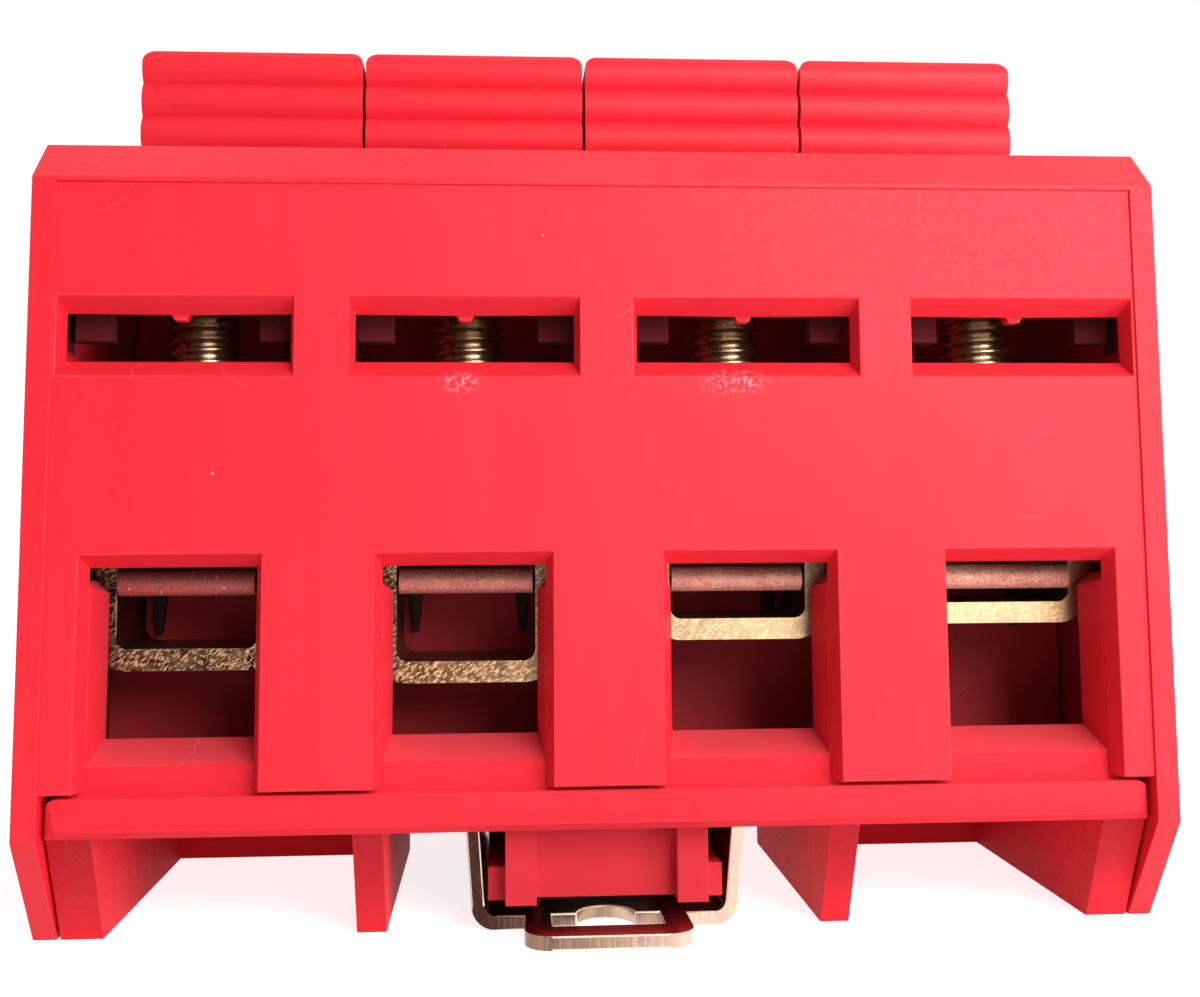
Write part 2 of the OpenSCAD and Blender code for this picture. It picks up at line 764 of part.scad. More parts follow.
// The bar end inside the clamp, with two lugs in front of the support and a plate that guides the screw
module clamp_end(p, end_y) {
  shoulder = 1;
  upright_w = bar_w - 2 * shoulder;
  upright_y = -support_y + lap;
  lug_w = 1.1;
  lug_h = 3.1;
  translate([pole_x(p), 0, 0]) {
    box([-bar_w / 2, -bar_end_y + bar_t / 2, bar_z], [bar_w / 2, end_y, bar_top]);
    translate([-bar_w / 2, -bar_end_y + bar_t / 2, bar_z + bar_t / 2])
      rotate([0, 90, 0]) cylinder(d = bar_t, h = bar_w);
    along_y(-lug_y, -lug_y + lug_t - run_gap) for (s = [-1, 1]) polygon([
      [s * bar_w / 2, bar_z + lap], [s * (bar_w / 2 - lug_w), bar_z + lap],
      [s * (bar_w / 2 - lug_w * 0.7), bar_z - lug_h], [s * (bar_w / 2 - lug_w * 0.3), bar_z - lug_h]]);
    box([-upright_w / 2, upright_y, bar_z], [upright_w / 2, upright_y + bar_t, guide_z + bar_t]);
    difference() {
      box([-bar_w / 2, -bar_end_y + seat_gap, guide_z], [bar_w / 2, upright_y + bar_t, guide_z + bar_t]);
      translate([0, -screw_y, guide_z - past])
        cylinder(d = screw_d + 4 * run_gap, h = bar_t + 2 * past);
    }
  }
}

// Two leaves lean in from the bar's edges to grip a module's blade
module blade_clip(p, side) {
  grip = blade_t / 2 + contact_gap;
  pinch_z = bar_top + clip_h * 0.62;
  foot = bar_w / 2;
  flare = 0.7;
  mouth = grip + flare;
  translate([module_x(p), 0, 0]) along_y(side * blade_y - clip_l / 2, side * blade_y + clip_l / 2)
    for (s = [-1, 1]) polygon([
      [s * foot, bar_top - lap], [s * (foot - clip_t * 1.4), bar_top - lap],
      [s * grip, pinch_z], [s * mouth, bar_top + clip_h],
      [s * (mouth + clip_t), bar_top + clip_h], [s * (grip + clip_t * 1.1), pinch_z]]);
}

module line_bar(p) {
  color(COPPER) {
    clamp_end(p, -tail_y);
    blade_clip(p, -1);
  }
}

// The neutral bar joins its own clamp to the far blades of the line modules
module neutral_bar() {
  color(COPPER) {
    clamp_end(NEUTRAL_POLE, cross_y);
    blade_clip(NEUTRAL_POLE, -1);
    box([pole_x(LINE_POLES[0]) - bar_w / 2, -cross_y, bar_z],
        [pole_x(NEUTRAL_POLE) + bar_w / 2, cross_y, bar_top]);
    for (p = LINE_POLES) {
      box([pole_x(p) - bar_w / 2, 0, bar_z],
          [pole_x(p) + bar_w / 2, blade_y + clip_l / 2 + clip_room, bar_top]);
      blade_clip(p, 1);
    }
  }
}

// The earth bar joins the earth clamps to the far blade of the last module
module earth_bar() {
  earth = [for (c = CLAMPS) if (c[0] > 0) c[1]];
  color(COPPER) {
    for (p = earth) at_side(1) clamp_end(p, -strip_y);
    box([pole_x(earth[0]) - bar_w / 2, strip_y, bar_z],
        [pole_x(NEUTRAL_POLE) + bar_w / 2, strip_y + strip_w, bar_top]);
    box([pole_x(NEUTRAL_POLE) - bar_w / 2, tail_y, bar_z],
        [pole_x(NEUTRAL_POLE) + bar_w / 2, strip_y + lap, bar_top]);
    blade_clip(NEUTRAL_POLE, 1);
  }
}

// MODULES

module case_ends() {
  grip_z = module_top - ridge_n * ridge_pitch;
  core_y = module_l / 2 - ridge_h;
  intersection() {
    translate([-module_l / 2, module_z]) square([module_l, module_top - module_z]);
    union() {
      translate([-module_l / 2, module_z]) square([module_l, grip_z - module_z]);
      translate([-core_y, module_z]) square([2 * core_y, module_top - module_z]);
      for (k = [0:ridge_n - 1], s = [-1, 1])
        translate([s * (module_l / 2 - ridge_r), module_top - (k + 0.5) * ridge_pitch])
          circle(ridge_r);
    }
  }
}

module module_case(p) {
  color(RED) translate([module_x(p), 0, 0]) difference() {
    intersection() {
      along_x(-module_w / 2, module_w / 2) case_ends();
      along_y(-module_l, module_l) {
        rounded([-module_w / 2, module_z + case_r], [module_w / 2, module_top], case_r);
        translate([-module_w / 2, module_z]) square([module_w, 3 * case_r]);
      }
    }
    box([-case_in_w / 2, -case_in_y, module_z - past], [case_in_w / 2, case_in_y, case_roof_z]);
    box([-flag_w / 2, flag_y - flag_l / 2, case_roof_z - past],
        [flag_w / 2, flag_y + flag_l / 2, module_top + past]);
  }
}

// The cap closes the case, holds the blades and cradles the protective element
module module_cap(p) {
  cap_x = case_in_w / 2 - run_gap;
  cap_y = case_in_y - run_gap;
  color(DARK) translate([module_x(p), 0, 0]) difference() {
    union() {
      box([-cap_x, -cap_y, module_z], [cap_x, cap_y, cap_z]);
      for (s = [-1, 1]) box([-cap_x + cradle_inset, s * cradle_y - cradle_t / 2, module_z],
                            [cap_x - cradle_inset, s * cradle_y + cradle_t / 2, cradle_z]);
    }
    for (s = [-1, 1]) translate([0, s * blade_y, module_z + cap_t / 2])
      cube([blade_t + 2 * contact_gap, blade_w + 2 * contact_gap, cap_t + past], center = true);
  }
}

module module_blades(p) {
  tip = 1;
  color(STEEL) translate([module_x(p), 0, 0])
    for (s = [-1, 1]) translate([0, s * blade_y, 0]) along_x(-blade_t / 2, blade_t / 2) polygon([
      [-blade_w / 2, cap_z + blade_head], [-blade_w / 2, blade_low_z + tip],
      [-blade_w / 2 + tip, blade_low_z], [blade_w / 2 - tip, blade_low_z],
      [blade_w / 2, blade_low_z + tip], [blade_w / 2, cap_z + blade_head]]);
}

// A coated block as long as the blades are apart
module varistor(p) {
  half = blade_y + blade_w / 2;
  corner_r = 3;
  color([0.15, 0.35, 0.60]) translate([module_x(p), 0, 0])
    along_x(-varistor_t / 2, varistor_t / 2)
      rounded([-half, cradle_z], [half, cradle_z + varistor_h], corner_r);
}

// A ceramic tube between two stepped electrodes
module spark_gap() {
  tube_l = 20;
  electrode_l = 4;
  tube_step = 1.5;
  color([0.88, 0.86, 0.80])
    translate([module_x(NEUTRAL_POLE), 0, cradle_z + spark_gap_d / 2 + contact_gap])
      rotate([90, 0, 0]) {
        cylinder(d = spark_gap_d, h = tube_l, center = true);
        cylinder(d = spark_gap_d - 2 * tube_step, h = tube_l + 2 * electrode_l, center = true);
      }
}

// The flag hangs its foot on the protective element and slides under the case's front
module status_flag(p) {
  element_z = p == NEUTRAL_POLE ? cradle_z + spark_gap_d + contact_gap : cradle_z + varistor_h;
  top_z = case_roof_z - run_gap;
  stem = 1.5;
  border = 1;
  color([0.25, 0.60, 0.25]) translate([module_x(p), flag_y, 0]) {
    box([-flag_w / 2 - border, -flag_l / 2 - flag_l, top_z - flag_t],
        [flag_w / 2 + border, flag_l / 2 + border, top_z]);
    box([-stem / 2, -stem / 2, element_z + run_gap], [stem / 2, stem / 2, top_z - flag_t / 2]);
  }
}

// REMOTE SIGNAL

module signal_socket() {
  color(DARK) translate([pole_x(SIGNAL_POLE), 0, 0]) difference() {
    box([-socket_w / 2, socket_floor_y - socket_wall, socket_z],
        [socket_w / 2, socket_y, socket_z + socket_h]);
    box([-plug_w / 2 - run_gap, socket_floor_y, socket_z + socket_wall],
        [plug_w / 2 + run_gap, socket_y + past, socket_z + socket_h - socket_wall]);
    for (k = [-1:1]) translate([k * contact_pitch, socket_floor_y - socket_wall / 2, plug_z + plug_h / 2])
      cube([contact_w, socket_wall + past, contact_w] + 2 * contact_gap * [1, 1, 1], center = true);
  }
}

module signal_pins() {
  reach = plug_l * 0.6;
  color(GOLD) for (k = [-1:1])
    box([pole_x(SIGNAL_POLE) + k * contact_pitch - contact_w / 2, socket_floor_y - socket_wall - pin_tail,
         plug_z + plug_h / 2 - contact_w / 2],
        [pole_x(SIGNAL_POLE) + k * contact_pitch + contact_w / 2, socket_floor_y + reach,
         plug_z + plug_h / 2 + contact_w / 2]);
}

module signal_plug() {
  wire_d = 1.8;
  latch_l = 2;
  latch_h = 0.8;
  color(DARK) translate([pole_x(SIGNAL_POLE), plug_y, plug_z]) difference() {
    box([-plug_w / 2, -plug_l, 0], [plug_w / 2, 0, plug_h]);
    for (k = [-1:1]) translate([k * contact_pitch, 0, 0]) {
      translate([0, -plug_l / 2, plug_h / 2])
        cube([contact_w + 4 * run_gap, plug_l + past, contact_w + 4 * run_gap], center = true);
      translate([0, past, plug_h * 0.36]) rotate([90, 0, 0]) cylinder(d = wire_d, h = plug_l / 2);
      translate([0, 0, plug_h * 0.82]) cube([wire_d, latch_l, latch_h], center = true);
    }
  }
}

cover();
tray();
rail_slide();
slide_spring();
for (n = [1:len(CLAMPS)]) {
  terminal_screw(CLAMPS[n - 1]);
  terminal_cage(CLAMPS[n - 1]);
}
for (p = LINE_POLES) {
  line_bar(p);
  varistor(p);
}
neutral_bar();
earth_bar();
for (p = [0:pole_count - 1]) {
  module_case(p);
  module_cap(p);
  module_blades(p);
  status_flag(p);
}
spark_gap();
signal_socket();
signal_pins();
signal_plug();
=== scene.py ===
# A plug-in surge arrester for a 35 mm rail, dressed piece by piece in the order it is put together.
from math import pi, radians

import bmesh
import bpy
from mathutils import Matrix, Vector


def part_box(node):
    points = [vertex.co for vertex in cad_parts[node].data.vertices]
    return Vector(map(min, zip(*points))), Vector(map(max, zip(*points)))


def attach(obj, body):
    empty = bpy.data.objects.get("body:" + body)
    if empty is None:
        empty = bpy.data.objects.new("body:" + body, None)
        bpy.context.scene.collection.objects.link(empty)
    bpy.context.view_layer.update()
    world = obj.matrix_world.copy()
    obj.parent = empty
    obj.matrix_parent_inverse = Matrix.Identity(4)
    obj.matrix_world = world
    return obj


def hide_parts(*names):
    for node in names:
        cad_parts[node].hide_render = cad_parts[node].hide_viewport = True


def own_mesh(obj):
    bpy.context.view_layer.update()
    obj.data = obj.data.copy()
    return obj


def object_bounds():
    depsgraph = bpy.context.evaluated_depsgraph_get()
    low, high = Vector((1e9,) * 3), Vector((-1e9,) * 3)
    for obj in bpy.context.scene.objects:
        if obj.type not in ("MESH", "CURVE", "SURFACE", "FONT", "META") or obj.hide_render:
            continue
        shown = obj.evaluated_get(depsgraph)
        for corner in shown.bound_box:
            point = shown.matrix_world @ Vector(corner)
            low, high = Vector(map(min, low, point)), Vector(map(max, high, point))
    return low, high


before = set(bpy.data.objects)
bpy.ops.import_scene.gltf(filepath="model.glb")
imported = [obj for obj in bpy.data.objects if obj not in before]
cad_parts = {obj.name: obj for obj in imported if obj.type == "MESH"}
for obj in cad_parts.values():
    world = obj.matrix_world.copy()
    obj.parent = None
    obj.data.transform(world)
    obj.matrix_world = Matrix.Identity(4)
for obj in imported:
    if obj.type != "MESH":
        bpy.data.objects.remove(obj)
cad_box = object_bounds()


# TRAY
# The lower moulding of the base: a plate with a beam along each face, the cable funnels and the ribs
# that stand on the panel. It is injection moulded in red thermoplastic and snaps up into the cover.
MM = 0.001
WELD = 0.002 * MM
FLAT = radians(0.3)
SHARP = radians(28)
MOULD_RADIUS = 0.08 * MM
RED = (0.80, 0.020, 0.036, 1)
DEEP_RED = (0.74, 0.015, 0.028, 1)
PALE_RED = (1.0, 0.13, 0.15, 1)
DUST_AND_TOP_LIGHT = (1.0, 0.55, 0.58, 1)

# The marks of moulding and use, with painted light on rims and upward faces: the scale of each pattern, and
# how strongly it shows.
CLOUD_SCALE = 45.0
CLOUD_SHARE = 0.6
FLOW_SCALE = 1 / (1.6 * MM)
FLOW_LIE = (1, 1, 0.03)
FLOW_SHARE = 0.4
GRAIN_SCALE = 1 / (0.35 * MM)
GRAIN_DEPTH = 0.02 * MM
GRAIN_STRENGTH = 0.10
GRAIN_DULLNESS = 0.14
RUBBED_AND_LIT_EDGE = 0.14
UPWARD = (0.72, 0.88)
HAIR_SCALE = 1 / (9 * MM)
HAIR_REACH = 1.7 * MM
HAIR_WIDTH = 0.035 * MM
HAIR_SWAY = 2 * MM
HAIR_SHARE = 0.4
HAIR_STRENGTH = 0.5
SPECK_SCALE = 1 / (3.5 * MM)
SPECK_RADIUS = 0.028
SPECK_SHARE = 0.28
SPECK_STRENGTH = 0.8
SCUFF_SCALE = 1 / (0.32 * MM)
SCUFF_STRENGTH = 0.42

# The painted shade inside the base: each pair of places is where a zone of it starts and where it is full.
# Dark colours painted where shade falls, standing in for it: deep in the chambers, in the slide's recess and
# on the window blocks.
PAINTED_SHADE = (0.16, 0.036, 0.043, 1)
DEEP_PAINTED_SHADE = (0.05, 0.002, 0.003, 1)
CHAMBER_FACE_Y = (43.4 * MM, 39.0 * MM)
CHAMBER_BACK_Y = (23.7 * MM, 23.9 * MM)
CHAMBER_SIDE_X = (34.9 * MM, 34.7 * MM)
CHAMBER_FOOT_Z = (2.0 * MM, 2.4 * MM)
CHAMBER_TOP_Z = (43.4 * MM, 43.2 * MM)
CHAMBER_PAINTED_SHADE = 0.52
WINDOW_FOOT_Z = (24.0 * MM, 28.0 * MM)
WINDOW_PAINTED_SHADE = 0.12
RECESS_TOP_Z = (2.0 * MM, 0.5 * MM)
RECESS_SIDE_X = (9.4 * MM, 9.2 * MM)
RECESS_PAINTED_SHADE = 0.3
BLOCK_FACE_Y = (42.3 * MM, 42.1 * MM)
BLOCK_BACK_Y = (40.0 * MM, 40.2 * MM)
BLOCK_FOOT_Z = (30.8 * MM, 31.2 * MM)
BLOCK_PAINTED_SHADE = 0.95


def only(piece):
    """Leaves one object selected and active."""
    bpy.ops.object.select_all(action="DESELECT")
    piece.select_set(True)
    bpy.context.view_layer.objects.active = piece


def copy_of(node):
    """A CAD node's mesh as a new object, with its triangles joined into whole faces."""
    piece = bpy.data.objects.new(node + "_finish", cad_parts[node].data.copy())
    bpy.context.scene.collection.objects.link(piece)
    only(piece)
    bpy.ops.object.mode_set(mode="EDIT")
    bpy.ops.mesh.select_all(action="SELECT")
    bpy.ops.mesh.remove_doubles(threshold=WELD)
    bpy.ops.mesh.dissolve_limited(angle_limit=FLAT)
    bpy.ops.object.mode_set(mode="OBJECT")
    return piece


def soften(piece, width=MOULD_RADIUS, segments=2):
    """Rounds the outer edges that have room for it, marks them as the rim, and smooths the round faces."""
    only(piece)
    bpy.ops.object.mode_set(mode="EDIT")
    bpy.ops.mesh.select_mode(type="EDGE")
    bpy.ops.mesh.select_all(action="DESELECT")
    mesh = bmesh.from_edit_mesh(piece.data)
    # A long face's room is about its width.
    room = {f: 2 * f.calc_area() / f.calc_perimeter() for f in mesh.faces}
    for edge in mesh.edges:
        if edge.is_manifold and edge.is_convex and edge.calc_face_angle() > SHARP:
            edge.select_set(min(room[f] for f in edge.link_faces) > 2 * width)
    bmesh.update_edit_mesh(piece.data)
    bpy.ops.mesh.bevel(offset=width, segments=segments, affect="EDGES", clamp_overlap=False)
    bpy.ops.object.mode_set(mode="OBJECT")
    rim = piece.data.attributes.new("rim", "FLOAT", "FACE")
    rim.data.foreach_set("value", [float(face.select) for face in piece.data.polygons])
    bpy.ops.object.shade_smooth_by_angle(angle=SHARP)
    level = piece.modifiers.new("level", "WEIGHTED_NORMAL")
    level.weight = 100
    level.keep_sharp = True
    bpy.ops.object.modifier_apply(modifier="level")
    return piece


def dress(piece, node, body, material):
    """Puts a finished piece in its CAD node's place."""
    piece.data.materials.clear()
    piece.data.materials.append(material)
    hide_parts(node)
    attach(piece, body)


def new_material(name):
    """A new finish, with its node tree and its surface shader."""
    material = bpy.data.materials.new(name)
    material.use_nodes = True
    tree = material.node_tree
    return material, tree, tree.nodes["Principled BSDF"]


def plug(tree, socket, value):
    """Sets a socket, or links it to another node's output."""
    if isinstance(value, bpy.types.NodeSocket):
        tree.links.new(value, socket)
    else:
        socket.default_value = value


def wire(tree, kind, settings=None, **inputs):
    """Adds a node and joins its inputs to values or to other nodes' outputs."""
    node = tree.nodes.new("ShaderNode" + kind)
    for name, value in (settings or {}).items():
        setattr(node, name, value)
    for name, value in inputs.items():
        plug(tree, node.inputs[name.replace("_", " ")], value)
    return node


def maths(tree, operation, *values, clamp=True):
    """The output of a maths node on these values, held between 0 and 1 unless told otherwise."""
    node = wire(tree, "Math", {"operation": operation, "use_clamp": clamp})
    for socket, value in zip(node.inputs, values):
        plug(tree, socket, value)
    return node.outputs[0]


def vector_maths(tree, operation, *vectors):
    """The node that does one step of vector maths on these vectors."""
    node = wire(tree, "VectorMath", {"operation": operation})
    for socket, vector in zip(node.inputs, vectors):
        plug(tree, socket, vector)
    return node


def spread(tree, value, low, high, to_low=0.0, to_high=1.0):
    """The value, stretched from one range to another and held inside it."""
    node = wire(tree, "MapRange", Value=value, From_Min=low, From_Max=high, To_Min=to_low, To_Max=to_high)
    return node.outputs["Result"]


def blend_colour(tree, factor, first, second):
    """Two colours, mixed by a factor."""
    node = wire(tree, "Mix", {"data_type": "RGBA"})
    plug(tree, node.inputs[0], factor)
    plug(tree, node.inputs[6], first)
    plug(tree, node.inputs[7], second)
    return node.outputs[2]


def noise(tree, place, scale, detail=2.0, roughness=0.5):
    """A value that wanders about one half from place to place."""
    node = wire(tree, "TexNoise", Vector=place, Scale=scale, Detail=detail, Roughness=roughness)
    return node.outputs[0]


def hairlines(tree, place):
    """A mask of single short hairlines, each bent and turned its own way."""
    cell = wire(tree, "TexVoronoi", Vector=place, Scale=HAIR_SCALE)
    chance = wire(tree, "SeparateColor", Color=cell.outputs["Color"])
    offset = vector_maths(tree, "SUBTRACT", place, cell.outputs["Position"])
    turned = wire(tree, "VectorRotate", {"rotation_type": "Y_AXIS"}, Vector=offset.outputs[0],
                  Angle=spread(tree, chance.outputs[0], 0.0, 1.0, 0.0, 2 * pi))
    local = wire(tree, "SeparateXYZ", Vector=turned.outputs[0])
    sway = noise(tree, place, 3 * HAIR_SCALE)
    bend = maths(tree, "MULTIPLY_ADD", sway, HAIR_SWAY, local.outputs["Z"], clamp=False)
    across = maths(tree, "ABSOLUTE", maths(tree, "SUBTRACT", bend, HAIR_SWAY / 2, clamp=False))
    along = maths(tree, "ABSOLUTE", local.outputs["X"])
    thin = spread(tree, across, HAIR_WIDTH, HAIR_WIDTH / 3)
    short = spread(tree, along, HAIR_REACH, HAIR_REACH / 2)
    chosen = maths(tree, "GREATER_THAN", chance.outputs[1], 1 - HAIR_SHARE)
    return maths(tree, "MULTIPLY", maths(tree, "MULTIPLY", thin, short), chosen)


def specks(tree, place, scale=SPECK_SCALE, radius=SPECK_RADIUS, share=SPECK_SHARE):
    """A mask of small dust grains, in some cells of a loose pattern."""
    cell = wire(tree, "TexVoronoi", Vector=place, Scale=scale)
    grain = spread(tree, cell.outputs["Distance"], radius, radius / 2)
    some = wire(tree, "SeparateColor", Color=cell.outputs["Color"])
    return maths(tree, "MULTIPLY", grain, maths(tree, "GREATER_THAN", some.outputs[0], 1 - share))


def scuff(tree, place, centre, reach):
    """A mask of rubbed white marks round one place."""
    offset = vector_maths(tree, "SUBTRACT", place, centre)
    ball = vector_maths(tree, "DIVIDE", offset.outputs[0], reach)
    distance = vector_maths(tree, "LENGTH", ball.outputs[0]).outputs["Value"]
    near = spread(tree, distance, 1.0, 0.35)
    marks = spread(tree, noise(tree, place, SCUFF_SCALE, 3.0, 0.6), 0.47, 0.66)
    return maths(tree, "MULTIPLY", maths(tree, "MULTIPLY", near, marks), SCUFF_STRENGTH)


def chamber_shade(tree, place):
    """Masks of painted shade: the base's inner walls with the slide's recess, and the roof's blocks."""
    sides = vector_maths(tree, "ABSOLUTE", place)
    span = wire(tree, "SeparateXYZ", Vector=sides.outputs[0])
    height = wire(tree, "SeparateXYZ", Vector=place).outputs["Z"]
    deep = maths(tree, "MULTIPLY", spread(tree, span.outputs["Y"], *CHAMBER_FACE_Y),
                 spread(tree, span.outputs["Y"], *CHAMBER_BACK_Y))
    level = maths(tree, "MULTIPLY", spread(tree, height, *CHAMBER_FOOT_Z),
                  spread(tree, height, *WINDOW_FOOT_Z, CHAMBER_PAINTED_SHADE, WINDOW_PAINTED_SHADE))
    inside = maths(tree, "MULTIPLY", spread(tree, height, *CHAMBER_TOP_Z),
                   spread(tree, span.outputs["X"], *CHAMBER_SIDE_X))
    walls = maths(tree, "MULTIPLY", inside, maths(tree, "MULTIPLY", deep, level))
    recess = maths(tree, "MULTIPLY", spread(tree, height, *RECESS_TOP_Z),
                   spread(tree, span.outputs["X"], *RECESS_SIDE_X, 0.0, RECESS_PAINTED_SHADE))
    block = maths(tree, "MULTIPLY", spread(tree, span.outputs["Y"], *BLOCK_FACE_Y),
                  spread(tree, span.outputs["Y"], *BLOCK_BACK_Y))
    block = maths(tree, "MULTIPLY", block, spread(tree, height, *BLOCK_FOOT_Z, 0.0, BLOCK_PAINTED_SHADE))
    return maths(tree, "MAXIMUM", walls, recess), maths(tree, "MULTIPLY", inside, block)


def moulded_plastic(name, colour, deep, pale, dust_and_top_light, scuffs=(), shaded=False, gloss=0.28, roughness=0.42,
                    upward_dust_and_light=0.01):
    """Moulded plastic with a fine spark-eroded grain, pale edges of wear and painted highlight, hairlines,
    settled dust with a painted top light, and painted shade when shaded.
    """
    material, tree, shader = new_material(name)
    coords = wire(tree, "TexCoord")
    place = coords.outputs["Object"]
    cloud = noise(tree, place, CLOUD_SCALE, 3.0)
    grain = noise(tree, place, GRAIN_SCALE)
    flow = wire(tree, "Mapping", Vector=place, Scale=FLOW_LIE)
    streak = noise(tree, flow.outputs[0], FLOW_SCALE)
    shade = maths(tree, "ADD", spread(tree, cloud, 0.35, 0.65, 0.0, CLOUD_SHARE),
                  spread(tree, streak, 0.4, 0.7, 0.0, FLOW_SHARE))
    tint = blend_colour(tree, shade, colour, deep)
    edge = wire(tree, "Attribute", {"attribute_name": "rim"}).outputs["Fac"]
    # Pale rims: partly wear, partly a painted highlight along the edges.
    rubbed_and_lit = maths(tree, "MULTIPLY", edge, spread(tree, cloud, 0.4, 0.65, 0.0, RUBBED_AND_LIT_EDGE))
    tint = blend_colour(tree, rubbed_and_lit, tint, pale)
    tint = blend_colour(tree, maths(tree, "MULTIPLY", hairlines(tree, place), HAIR_STRENGTH), tint, pale)
    # Upward faces turn paler: partly settled dust, partly a painted light from above.
    upward = wire(tree, "SeparateXYZ", Vector=coords.outputs["Normal"]).outputs["Z"]
    tint = blend_colour(tree, spread(tree, upward, *UPWARD, 0.0, upward_dust_and_light), tint, dust_and_top_light)
    tint = blend_colour(tree, maths(tree, "MULTIPLY", specks(tree, place), SPECK_STRENGTH), tint, dust_and_top_light)
    for centre, reach in scuffs:
        tint = blend_colour(tree, scuff(tree, place, centre, reach), tint, dust_and_top_light)
    dullness = spread(tree, grain, 0.3, 0.7, roughness, roughness + GRAIN_DULLNESS)
    # Painted shade: the inner walls, the recess and the window blocks are darkened where shade falls.
    if shaded:
        painted_shade, block = chamber_shade(tree, place)
        tint = blend_colour(tree, block, blend_colour(tree, painted_shade, tint, PAINTED_SHADE), DEEP_PAINTED_SHADE)
        dullness = maths(tree, "MAXIMUM", dullness, block)
    plug(tree, shader.inputs["Base Color"], tint)
    plug(tree, shader.inputs["Roughness"], dullness)
    shader.inputs["Specular IOR Level"].default_value = gloss
    bump = wire(tree, "Bump", Height=grain, Strength=GRAIN_STRENGTH, Distance=GRAIN_DEPTH)
    plug(tree, shader.inputs["Normal"], bump.outputs[0])
    return material


red_tray = moulded_plastic("red_tray", RED, DEEP_RED, PALE_RED, DUST_AND_TOP_LIGHT, shaded=True, gloss=0.20,
                           roughness=0.54, upward_dust_and_light=0.065)
dress(soften(copy_of("tray")), "tray", "base", red_tray)


# COPPER BARS
# Punched strips of tinned copper that lie on the tray. Each has a rounded end inside a clamp, an upright
# with a plate that guides the screw, and a pair of leaves that grip a module's blade.
BAR_EDGE = 0.12 * MM
TIN = (0.94, 0.52, 0.40, 1)
BARE_COPPER = (0.84, 0.36, 0.27, 1)
COPPER_LEFT_SHADE = (0.54, 0.12, 0.11, 1)
OXIDE_AND_SHADE = (0.030, 0.015, 0.012, 1)
OXIDE_SCALE = 1 / (0.13 * MM)
OXIDE_SHARE = 0.45
SHADE_TOP = 15.3 * MM
SHADE_FADE = 0.2 * MM
LINT = (0.85, 0.72, 0.66, 1)
LINT_SCALE = 1 / (0.5 * MM)
LINT_RADIUS = 0.16
LINT_SHARE = 0.35
FILM_SCALE = 1 / (1.6 * MM)
CUT_FACING = (0.9, 0.98)
CUT_ON_LIT_SIDE = 0.35
TORN_METAL = (0.018, 0.010, 0.008, 1)
TORN_DEPTH = 0.06 * MM
TORN_STRENGTH = 0.45
PATCH_SCALE = 1 / (0.9 * MM)
PAINTED_RIM_HIGHLIGHT = (1.0, 0.84, 0.60, 1)
RIM_HIGHLIGHT_SHARE = 0.8
RIM_METAL = 0.3
METAL_GLOSS = 0.2
LINE_POLES = range(1, 4)


